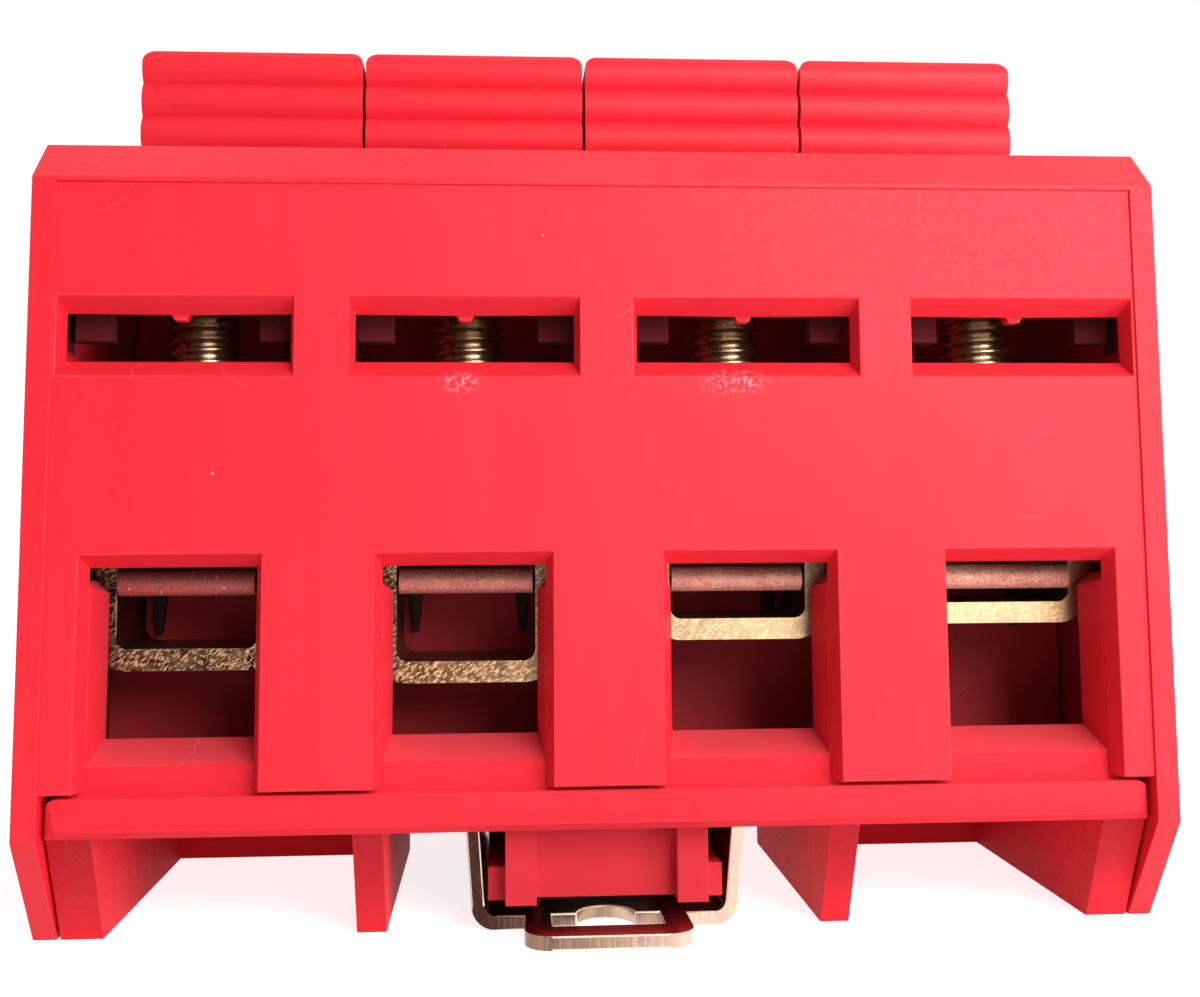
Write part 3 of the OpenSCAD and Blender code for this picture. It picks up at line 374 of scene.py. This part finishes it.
def sheet_metal(name, bright, tint, roughness, edge_grain, grain_size=0.13 * MM, grain_lie=(1, 1, 0.4),
                grain_slant=-0.95, left_shade=None, left_shade_span=(14 * MM, -30 * MM), side_shade=None,
                metallic=1.0, aged_and_shaded=False):
    """Rolled sheet with clouded plating and a torn grain where it was punched, and painted light: highlights
    on the rims, and shade towards the left, on the flat faces and low down where asked.
    """
    material, tree, shader = new_material(name)
    coords = wire(tree, "TexCoord")
    place = coords.outputs["Object"]
    spot = wire(tree, "SeparateXYZ", Vector=place)
    cloud = noise(tree, place, FILM_SCALE, 4.0, 0.65)
    film = blend_colour(tree, spread(tree, cloud, 0.38, 0.62), bright, tint)
    facing = wire(tree, "SeparateXYZ", Vector=coords.outputs["Normal"])
    cut = spread(tree, maths(tree, "ABSOLUTE", facing.outputs["Y"]), *CUT_FACING, 0.0, edge_grain)
    # Painted shade: the plating darkens towards the left, where less light falls, and its torn grain shows
    # less on the lit right.
    if left_shade:
        film = blend_colour(tree, spread(tree, spot.outputs["X"], *left_shade_span), film, left_shade)
        cut = maths(tree, "MULTIPLY", cut, spread(tree, spot.outputs["X"], *left_shade_span, CUT_ON_LIT_SIDE, 1.0))
    if aged_and_shaded:
        sand = noise(tree, place, OXIDE_SCALE)
        film = blend_colour(tree, spread(tree, sand, 0.55, 0.35, 0.0, OXIDE_SHARE), film, OXIDE_AND_SHADE)
        film = blend_colour(tree, specks(tree, place, LINT_SCALE, LINT_RADIUS, LINT_SHARE), film, LINT)
    rim = wire(tree, "Attribute", {"attribute_name": "rim"}).outputs["Fac"]
    # Painted shade: the faces that are neither punched edges nor rims, the cage's inner walls among them,
    # are darkened.
    if side_shade:
        film = blend_colour(tree, spread(tree, maths(tree, "ADD", cut, rim), 0.2, 0.0), film, side_shade)
    slant = wire(tree, "VectorRotate", {"rotation_type": "Y_AXIS"}, Vector=place, Angle=grain_slant)
    shear = wire(tree, "Mapping", Vector=slant.outputs[0], Scale=grain_lie)
    torn = noise(tree, shear.outputs[0], 1 / grain_size, 4.0, 0.7)
    patch = noise(tree, place, PATCH_SCALE)
    pits = maths(tree, "MULTIPLY", spread(tree, torn, 0.59, 0.50), spread(tree, patch, 0.3, 0.6, 0.75, 1.0))
    dark = maths(tree, "MULTIPLY", maths(tree, "SUBTRACT", cut, rim), pits)
    tone = blend_colour(tree, dark, film, TORN_METAL)
    # Painted highlight: a bright colour along the rounded rims.
    tone = blend_colour(tree, maths(tree, "MULTIPLY", rim, RIM_HIGHLIGHT_SHARE), tone, PAINTED_RIM_HIGHLIGHT)
    # Painted shade: below a set height the metal is darkened to near black, where it lies in shadow.
    if aged_and_shaded:
        shaded_lower = spread(tree, spot.outputs["Z"], SHADE_TOP, SHADE_TOP - SHADE_FADE)
        tone = blend_colour(tree, shaded_lower, tone, OXIDE_AND_SHADE)
    plug(tree, shader.inputs["Base Color"], tone)
    plug(tree, shader.inputs["Metallic"], spread(tree, rim, 0.0, 1.0, metallic, RIM_METAL * metallic))
    shader.inputs["Specular IOR Level"].default_value = METAL_GLOSS
    plug(tree, shader.inputs["Roughness"],
         spread(tree, cloud, 0.3, 0.7, roughness - 0.05, roughness + 0.07))
    rough = maths(tree, "MULTIPLY", torn, spread(tree, cut, 0.0, 1.0, 0.05, 1.0))
    bump = wire(tree, "Bump", Height=rough, Strength=TORN_STRENGTH * edge_grain, Distance=TORN_DEPTH)
    plug(tree, shader.inputs["Normal"], bump.outputs[0])
    return material


def repeat(piece, model, node):
    """A copy of a finished piece with its own mesh, in a like node's place."""
    twin = piece.copy()
    twin.data = piece.data.copy()
    twin.name = node + "_finish"
    bpy.context.scene.collection.objects.link(twin)
    twin.data.transform(Matrix.Translation(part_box(node)[0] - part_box(model)[0]))
    return twin


def dress_all(piece, nodes, bodies, material):
    """Dresses the first node with a piece and the others with copies of it."""
    twins = [repeat(piece, nodes[0], node) for node in nodes[1:]]
    for one, node, body in zip([piece, *twins], nodes, bodies):
        dress(one, node, body, material)


contact_copper = sheet_metal("contact_copper", TIN, BARE_COPPER, roughness=0.60, edge_grain=0.12,
                             left_shade=COPPER_LEFT_SHADE, metallic=0.45, aged_and_shaded=True)
line_bars = [f"line_bar_{n}" for n in LINE_POLES]
dress_all(soften(copy_of(line_bars[0]), BAR_EDGE), line_bars, ["base"] * len(line_bars),
          contact_copper)
for bar in ("neutral_bar", "earth_bar"):
    dress(soften(copy_of(bar), BAR_EDGE), bar, "base", contact_copper)


# CLAMP CAGES
# Each is one strip of steel folded into a closed frame round the end of a bar, zinc plated and yellow
# chromated. Its punched edges face the cable and stay rough, and its thick head is tapped for the screw.
CAGE_EDGE = 0.16 * MM
CHROMATE = (0.90, 0.65, 0.33, 1)
CHROMATE_PINK = (0.80, 0.54, 0.33, 1)
CHROMATE_LEFT_SHADE = (0.84, 0.46, 0.24, 1)
CAGE_SIDE_SHADE = (0.20, 0.13, 0.10, 1)
POLES = range(1, 7)

chromated_steel = sheet_metal("chromated_steel", CHROMATE, CHROMATE_PINK, roughness=0.32, edge_grain=1.0,
                              left_shade=CHROMATE_LEFT_SHADE, left_shade_span=(12 * MM, -14 * MM), side_shade=CAGE_SIDE_SHADE)
cages = [f"terminal_cage_{n}" for n in POLES]
dress_all(soften(copy_of(cages[0]), CAGE_EDGE), cages, [f"clamp_cage_{n}" for n in POLES],
          chromated_steel)


# CLAMP SCREWS
# Zinc plated M5 screws with a rolled thread and a cross recess. Each turns in the guide plate of its bar
# and draws its cage up.
THREAD_RADIUS = 2.5 * MM
THREAD_EASE = 0.02 * MM
THREAD_PITCH = 0.8 * MM
THREAD_DEPTH = 0.43 * MM
THREAD_LAP = 0.1 * MM
THREAD_STEPS = 40
SPARE_TURNS = 2
HEAD_HEIGHT = 3.6 * MM
HEAD_EDGE = 0.2 * MM
HEAD_CUT = 0.02 * MM
CUT_TOLERANCE = 0.0001 * MM
ZINC = (0.74, 0.60, 0.40, 1)
ZINC_WARM = (0.62, 0.46, 0.28, 1)


def cut_level(piece, height, keep_above):
    """Cuts a piece level at a height, and closes the cut."""
    only(piece)
    bpy.ops.object.mode_set(mode="EDIT")
    bpy.ops.mesh.select_all(action="SELECT")
    bpy.ops.mesh.bisect(plane_co=(0, 0, height), plane_no=(0, 0, 1), use_fill=True,
                        clear_inner=keep_above, clear_outer=not keep_above, threshold=CUT_TOLERANCE)
    bpy.ops.object.mode_set(mode="OBJECT")


def threaded_shank(low, high):
    """A rolled thread on the Z axis, wound up a helix from the profile of one turn and cut to length."""
    crest = THREAD_RADIUS - THREAD_EASE
    root = crest - THREAD_DEPTH
    # Each point is a radius and a share of the pitch.
    profile = [(root, 0.0), (root, 0.10), (crest, 0.44), (crest, 0.56), (root, 0.90), (root, 1.0)]
    start = low - SPARE_TURNS * THREAD_PITCH
    mesh = bpy.data.meshes.new("thread")
    mesh.from_pydata([(radius, 0, start + turn * THREAD_PITCH) for radius, turn in profile],
                     [(k, k + 1) for k in range(len(profile) - 1)], [])
    shank = bpy.data.objects.new("thread", mesh)
    bpy.context.scene.collection.objects.link(shank)
    only(shank)
    wind = shank.modifiers.new("wind", "SCREW")
    wind.screw_offset = THREAD_PITCH
    wind.iterations = round((high - low) / THREAD_PITCH) + 2 * SPARE_TURNS
    wind.steps = wind.render_steps = THREAD_STEPS
    wind.use_merge_vertices = True
    wind.merge_threshold = WELD
    bpy.ops.object.modifier_apply(modifier="wind")
    bpy.ops.object.mode_set(mode="EDIT")
    bpy.ops.mesh.select_all(action="SELECT")
    bpy.ops.mesh.remove_doubles(threshold=WELD)
    bpy.ops.object.mode_set(mode="OBJECT")
    cut_level(shank, low, True)
    cut_level(shank, high, False)
    bpy.ops.object.mode_set(mode="EDIT")
    bpy.ops.mesh.select_all(action="SELECT")
    bpy.ops.mesh.normals_make_consistent(inside=False)
    bpy.ops.object.mode_set(mode="OBJECT")
    bpy.ops.object.shade_smooth_by_angle(angle=SHARP)
    return shank


screws = [f"terminal_screw_{n}" for n in POLES]
screw_low, screw_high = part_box(screws[0])
screw_axis = (screw_low + screw_high) / 2
head_low = screw_high.z - HEAD_HEIGHT
screw = copy_of(screws[0])
cut_level(screw, head_low + HEAD_CUT, True)
soften(screw, HEAD_EDGE, segments=3)
thread = threaded_shank(screw_low.z, head_low + THREAD_LAP)
thread.data.transform(Matrix.Translation((screw_axis.x, screw_axis.y, 0)))
only(screw)
thread.select_set(True)
bpy.ops.object.join()
screw_steel = sheet_metal("clamp_screw_steel", ZINC, ZINC_WARM, roughness=0.26, edge_grain=0.05)
dress_all(screw, screws, [f"clamp_screw_{n}" for n in POLES], screw_steel)


# REMOTE SIGNAL SOCKET
# A small box, injection moulded in dark plastic, that stands on the tray behind the far face. Three square
# copper pins are pressed through its back and reach into the signal plug.
CHARCOAL = (0.030, 0.030, 0.033, 1)
CHARCOAL_DEEP = (0.022, 0.022, 0.025, 1)
CHARCOAL_PALE = (0.10, 0.10, 0.105, 1)
GREY_DUST_AND_TOP_LIGHT = (0.35, 0.34, 0.33, 1)

dark_plastic = moulded_plastic("dark_plastic", CHARCOAL, CHARCOAL_DEEP, CHARCOAL_PALE, GREY_DUST_AND_TOP_LIGHT)
dress(soften(copy_of("signal_socket")), "signal_socket", "base", dark_plastic)
dress(soften(copy_of("signal_pins"), BAR_EDGE), "signal_pins", "base", contact_copper)


# RAIL SLIDE AND SPRING
# The slide is folded from chromated steel sheet, with a slotted tab for a screwdriver. It hangs on the
# tray's runners, and a flat wave spring pushes its nose under the rail's flange.
SHEET_EDGE = 0.10 * MM
SPRING_EDGE = 0.05 * MM
SLIDE_GOLD = (0.88, 0.66, 0.44, 1)
SLIDE_PINK = (0.76, 0.56, 0.52, 1)
SLIDE_LEFT_SHADE = (0.075, 0.032, 0.024, 1)
SPRING_BLUE = (0.34, 0.35, 0.38, 1)
SPRING_STRAW = (0.46, 0.43, 0.36, 1)

slide_steel = sheet_metal("slide_steel", SLIDE_GOLD, SLIDE_PINK, roughness=0.20, edge_grain=0.55,
                          grain_size=0.1 * MM, grain_lie=(1, 1, 0.05), grain_slant=0.0,
                          left_shade=SLIDE_LEFT_SHADE, left_shade_span=(6 * MM, -7.5 * MM))
dress(soften(copy_of("rail_slide"), SHEET_EDGE), "rail_slide", "rail_slide", slide_steel)
spring_steel = sheet_metal("spring_steel", SPRING_BLUE, SPRING_STRAW, roughness=0.30, edge_grain=0.1)
spring = soften(copy_of("slide_spring"), SPRING_EDGE)
dress(spring, "slide_spring", "base", spring_steel)
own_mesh(spring)


# COVER
# The upper moulding of the base: two shoulders over the terminals, the bay for the modules between them
# and two cheeks that reach down beside the tray. Its face is scuffed below two windows by screwdrivers.
COVER_SCUFFS = [
    (Vector((-9.2, -45.0, 28.8)) * MM, Vector((1.6, 1.5, 0.9)) * MM),
    (Vector((8.2, -45.0, 28.9)) * MM, Vector((2.6, 1.5, 1.1)) * MM),
]

red_cover = moulded_plastic("red_cover", RED, DEEP_RED, PALE_RED, DUST_AND_TOP_LIGHT, COVER_SCUFFS, shaded=True)
dress(soften(copy_of("cover")), "cover", "base", red_cover)


# PROTECTION MODULES
# Four plug-in cases with grip ridges at both ends. Each is closed by a cap that holds two plated blades
# and cradles the protective element: a dipped varistor block in three of them, a spark gap in the last.
CASE_EDGE = 0.2 * MM
DIPPED_EDGE = 0.6 * MM
CERAMIC_EDGE = 0.4 * MM
TINNED = (0.72, 0.71, 0.68, 1)
TINNED_DULL = (0.58, 0.57, 0.55, 1)
EPOXY = (0.03, 0.12, 0.36, 1)
EPOXY_DEEP = (0.02, 0.08, 0.28, 1)
EPOXY_PALE = (0.10, 0.22, 0.50, 1)
CERAMIC = (0.78, 0.75, 0.68, 1)
CERAMIC_DEEP = (0.70, 0.66, 0.58, 1)
CERAMIC_PALE = (0.86, 0.84, 0.80, 1)
MODULES = range(1, 5)

module_bodies = [f"module_{n}" for n in MODULES]
red_plastic = moulded_plastic("red_plastic", RED, DEEP_RED, PALE_RED, DUST_AND_TOP_LIGHT)
cases = [f"module_case_{n}" for n in MODULES]
dress_all(soften(copy_of(cases[0]), CASE_EDGE), cases, module_bodies, red_plastic)
caps = [f"module_cap_{n}" for n in MODULES]
dress_all(soften(copy_of(caps[0])), caps, module_bodies, dark_plastic)
blades = [f"module_blades_{n}" for n in MODULES]
blade_plating = sheet_metal("blade_plating", TINNED, TINNED_DULL, roughness=0.32, edge_grain=0.3)
dress_all(soften(copy_of(blades[0]), BAR_EDGE), blades, module_bodies, blade_plating)
varistors = [f"varistor_{n}" for n in LINE_POLES]
epoxy = moulded_plastic("varistor_epoxy", EPOXY, EPOXY_DEEP, EPOXY_PALE, EPOXY_PALE)
dress_all(soften(copy_of(varistors[0]), DIPPED_EDGE, segments=4), varistors, module_bodies,
          epoxy)
ceramic = moulded_plastic("gap_ceramic", CERAMIC, CERAMIC_DEEP, CERAMIC_PALE, CERAMIC_PALE)
dress(soften(copy_of("spark_gap"), CERAMIC_EDGE, segments=3), "spark_gap", "module_4",
      ceramic)


# STATUS FLAGS
# A moulded flag slides under each module's window. Its green half shows while the module is sound, and its
# red half when the disconnector has tripped.
FLAG_GREEN = (0.03, 0.36, 0.06, 1)
FLAG_RED = (0.62, 0.02, 0.02, 1)
FLAG_ROUGHNESS = 0.38
FLAG_SEAM_Y = (-10.05 * MM, -9.95 * MM)


def two_colour_flag():
    """Moulded plastic that changes from red to green along the flag."""
    material, tree, shader = new_material("flag_green")
    place = wire(tree, "TexCoord").outputs["Object"]
    along = wire(tree, "SeparateXYZ", Vector=place)
    half = spread(tree, along.outputs["Y"], *FLAG_SEAM_Y)
    grain = noise(tree, place, GRAIN_SCALE)
    plug(tree, shader.inputs["Base Color"], blend_colour(tree, half, FLAG_RED, FLAG_GREEN))
    plug(tree, shader.inputs["Roughness"],
         spread(tree, grain, 0.3, 0.7, FLAG_ROUGHNESS, FLAG_ROUGHNESS + GRAIN_DULLNESS))
    bump = wire(tree, "Bump", Height=grain, Strength=GRAIN_STRENGTH, Distance=GRAIN_DEPTH)
    plug(tree, shader.inputs["Normal"], bump.outputs[0])
    return material


flag_plastic = two_colour_flag()
for n in MODULES:
    flag = f"status_flag_{n}"
    dress(soften(copy_of(flag)), flag, f"flag_{n}", flag_plastic)


# SIGNAL PLUG
# A plug with three wire holes, injection moulded in the same dark plastic as the socket. It is pushed into
# the socket through an opening in the cover's far face.
dress(soften(copy_of("signal_plug")), "signal_plug", "signal_plug", dark_plastic)


# STUDIO
# A pale floor under the feet and a white surround that dims to the left, with a dark card on that side for
# the metal to reflect. Two soft lamps stand in front on the right, and the camera where the photo was taken.
WHITE = (1, 1, 1, 1)
MATT = 0.9
FLOOR_SIZE = 6
FLOOR_Z = cad_box[0][2]
FLOOR_PAINT = (0.80, 0.80, 0.80, 1)
FLOOR_GLOW = 0.82
FLOOR_BOUNCE = 0.12
DIM_SPAN = (-0.45, 0.45)
DIM_LEVEL = (0.15, 0.93)
CARD_PAINT = (0.02, 0.02, 0.02, 1)
CARD_PLACE = Vector((-150, -180, 44)) * MM
CARD_SIZE = Vector((0.25, 0.10, 1, 1))
KEY_PLACE = Vector((120, -270, 140)) * MM
KEY_TARGET = Vector((0, -40, 25)) * MM
KEY_SIZE = 150 * MM
KEY_POWER = 0.66
KEY_COLOUR = (1.0, 0.98, 0.95)
LOW_PLACE = Vector((190, -150, 0)) * MM
LOW_TARGET = Vector((0, -42, 0)) * MM
LOW_SIZE = 70 * MM
LOW_POWER = 0.38
LOW_COLOUR = (0.82, 0.90, 1.0)
CAMERA_PLACE = Vector((-6.65, -132.0, 19.85)) * MM
CAMERA_RIGHT = Vector((0.998, -0.0623, -0.006))
CAMERA_FORWARD = Vector((0.0626, 0.9932, 0.0984))
CAMERA_SENSOR = 36
CAMERA_LENS = 41.61
CAMERA_SHIFT = (0.0092, -0.0926)


def looked_at(tree):
    """One for rays from the camera, off a gloss or through glass, and nothing for the rest."""
    path = wire(tree, "LightPath").outputs
    direct = maths(tree, "MAXIMUM", path["Is Camera Ray"], path["Is Glossy Ray"])
    return maths(tree, "MAXIMUM", direct, path["Is Transmission Ray"])


def lamp(name, place, target, size, power, colour):
    """A soft square lamp that faces a point."""
    light = bpy.data.lights.new(name, "AREA")
    light.size = size
    light.energy = power
    light.color = colour
    holder = bpy.data.objects.new(name, light)
    bpy.context.scene.collection.objects.link(holder)
    holder.location = place
    holder.rotation_euler = (target - place).to_track_quat("-Z", "Y").to_euler()


bpy.ops.object.select_all(action="DESELECT")
bpy.ops.mesh.primitive_plane_add(size=FLOOR_SIZE, location=(0, 0, FLOOR_Z))
floor = bpy.context.object
floor.name = "floor"
floor_paint, floor_tree, floor_shader = new_material("floor_paint")
floor_shader.inputs["Base Color"].default_value = FLOOR_PAINT
floor_shader.inputs["Roughness"].default_value = MATT
floor_shader.inputs["Specular IOR Level"].default_value = 0.0
floor_shader.inputs["Emission Color"].default_value = WHITE
glow = maths(floor_tree, "MULTIPLY", looked_at(floor_tree), FLOOR_GLOW)
plug(floor_tree, floor_shader.inputs["Emission Strength"], maths(floor_tree, "MAXIMUM", glow, FLOOR_BOUNCE))
floor.data.materials.append(floor_paint)

world = bpy.data.worlds.new("studio")
bpy.context.scene.world = world
world.use_nodes = True
sky_tree = world.node_tree
sky = sky_tree.nodes["Background"]
sky.inputs["Color"].default_value = WHITE
direction = wire(sky_tree, "TexCoord").outputs["Generated"]
sideways = wire(sky_tree, "SeparateXYZ", Vector=direction).outputs["X"]
dim = spread(sky_tree, sideways, *DIM_SPAN, *DIM_LEVEL)
plug(sky_tree, sky.inputs["Strength"], maths(sky_tree, "MAXIMUM", looked_at(sky_tree), dim))

bpy.ops.object.select_all(action="DESELECT")
bpy.ops.mesh.primitive_plane_add(size=1)
card = bpy.context.object
card.name = "dark_card"
upright = Matrix.Rotation(radians(90), 4, "X")
card.data.transform(Matrix.Translation(CARD_PLACE) @ upright @ Matrix.Diagonal(CARD_SIZE))
card_paint, _, card_shader = new_material("card_paint")
card_shader.inputs["Base Color"].default_value = CARD_PAINT
card_shader.inputs["Roughness"].default_value = MATT
card.data.materials.append(card_paint)
card.visible_camera = False

lamp("key", KEY_PLACE, KEY_TARGET, KEY_SIZE, KEY_POWER, KEY_COLOUR)
lamp("low", LOW_PLACE, LOW_TARGET, LOW_SIZE, LOW_POWER, LOW_COLOUR)

camera = bpy.data.objects.new("camera", bpy.data.cameras.new("camera"))
bpy.context.scene.collection.objects.link(camera)
camera_up = CAMERA_RIGHT.cross(CAMERA_FORWARD)
turn = Matrix((CAMERA_RIGHT, camera_up, -CAMERA_FORWARD)).transposed().to_4x4()
camera.matrix_world = Matrix.Translation(CAMERA_PLACE) @ turn
camera.data.sensor_fit = "HORIZONTAL"
camera.data.sensor_width = CAMERA_SENSOR
camera.data.lens = CAMERA_LENS
camera.data.shift_x, camera.data.shift_y = CAMERA_SHIFT
camera.data.clip_start = 1 * MM
bpy.context.scene.camera = camera
bpy.context.scene.view_settings.view_transform = "Standard"
